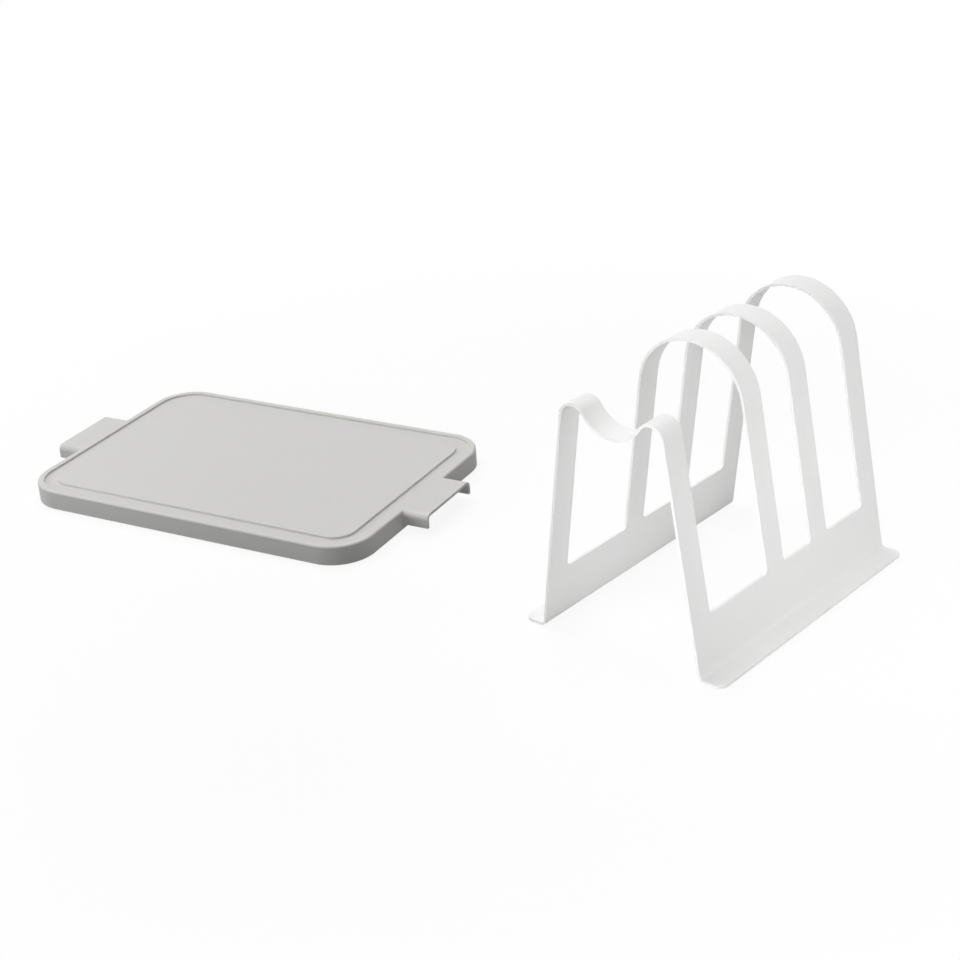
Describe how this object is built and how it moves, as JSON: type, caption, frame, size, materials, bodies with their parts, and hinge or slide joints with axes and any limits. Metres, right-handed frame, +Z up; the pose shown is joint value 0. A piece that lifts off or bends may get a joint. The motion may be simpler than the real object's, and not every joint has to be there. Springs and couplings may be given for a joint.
{
  "type": "cutting board with stand",
  "caption": "Moulded board with grips and a juice groove, and a bent sheet stand with slots that hold boards upright.",
  "frame": {"origin": "on the surface, in the middle of the rectangle that board and stand cover", "axes": "+Z up, +X from the board towards the stand, +Y from the low front band to the last hoop"},
  "size_m": [0.686, 0.309, 0.201],
  "materials": {
    "white_coat": "matt white powder coat on steel sheet",
    "board_plastic": "light warm grey polypropylene with a fine satin grain",
    "pad_rubber": "pale soft pad",
    "foot_rubber": "grey soft foot"
  },
  "bodies": {
    "stand": {"stand_frame": "white_coat", "stand_pad_front_left": "pad_rubber", "stand_pad_back_left": "pad_rubber", "stand_pad_front_right": "pad_rubber", "stand_pad_back_right": "pad_rubber"},
    "board": {"cutting_board": "board_plastic", "board_foot_front_left": "foot_rubber", "board_foot_back_left": "foot_rubber", "board_foot_front_right": "foot_rubber", "board_foot_back_right": "foot_rubber"}
  },
  "joints": [
    {"name": "board_lift", "type": "slide", "parent": "stand", "child": "board", "axis": [0, 0, 1], "range_m": [0, 0.25]}
  ]
}
